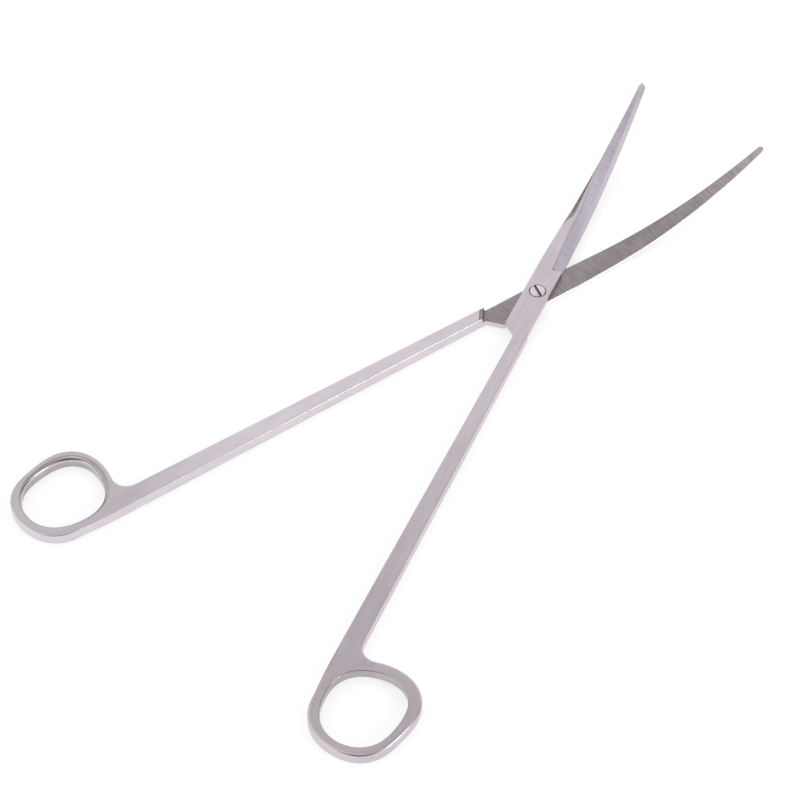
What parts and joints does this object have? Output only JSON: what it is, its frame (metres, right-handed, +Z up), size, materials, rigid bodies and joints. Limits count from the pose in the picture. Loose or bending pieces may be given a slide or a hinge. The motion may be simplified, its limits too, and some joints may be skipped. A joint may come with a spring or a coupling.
{
  "type": "aquascaping scissors",
  "caption": "Long-reach scissors for trimming aquarium plants: slim straight shanks with finger loops, a slotted pivot screw and narrow blades that sweep up to blunt tips.",
  "frame": {"origin": "on the pivot axis, at the flat underside that rests on the table", "axes": "+X towards the tips along the line midway between the two halves, +Y towards the loop of the lower half, +Z up, along the pivot axis towards the screw's head"},
  "size_m": [0.2388, 0.1338, 0.0157],
  "materials": {
    "lower_steel": "satin, finely ground stainless steel",
    "upper_steel": "satin, finely ground stainless steel",
    "screw_steel": "turned and faced stainless steel"
  },
  "bodies": {
    "lower_lever": {"lower_half": "lower_steel", "pivot_screw": "screw_steel"},
    "upper_lever": {"upper_half": "upper_steel"}
  },
  "joints": [
    {"name": "pivot", "type": "hinge", "parent": "lower_lever", "child": "upper_lever", "pos_m": [0, 0, 0], "axis": [0, 0, 1], "range_deg": [-30.5, 59]}
  ]
}
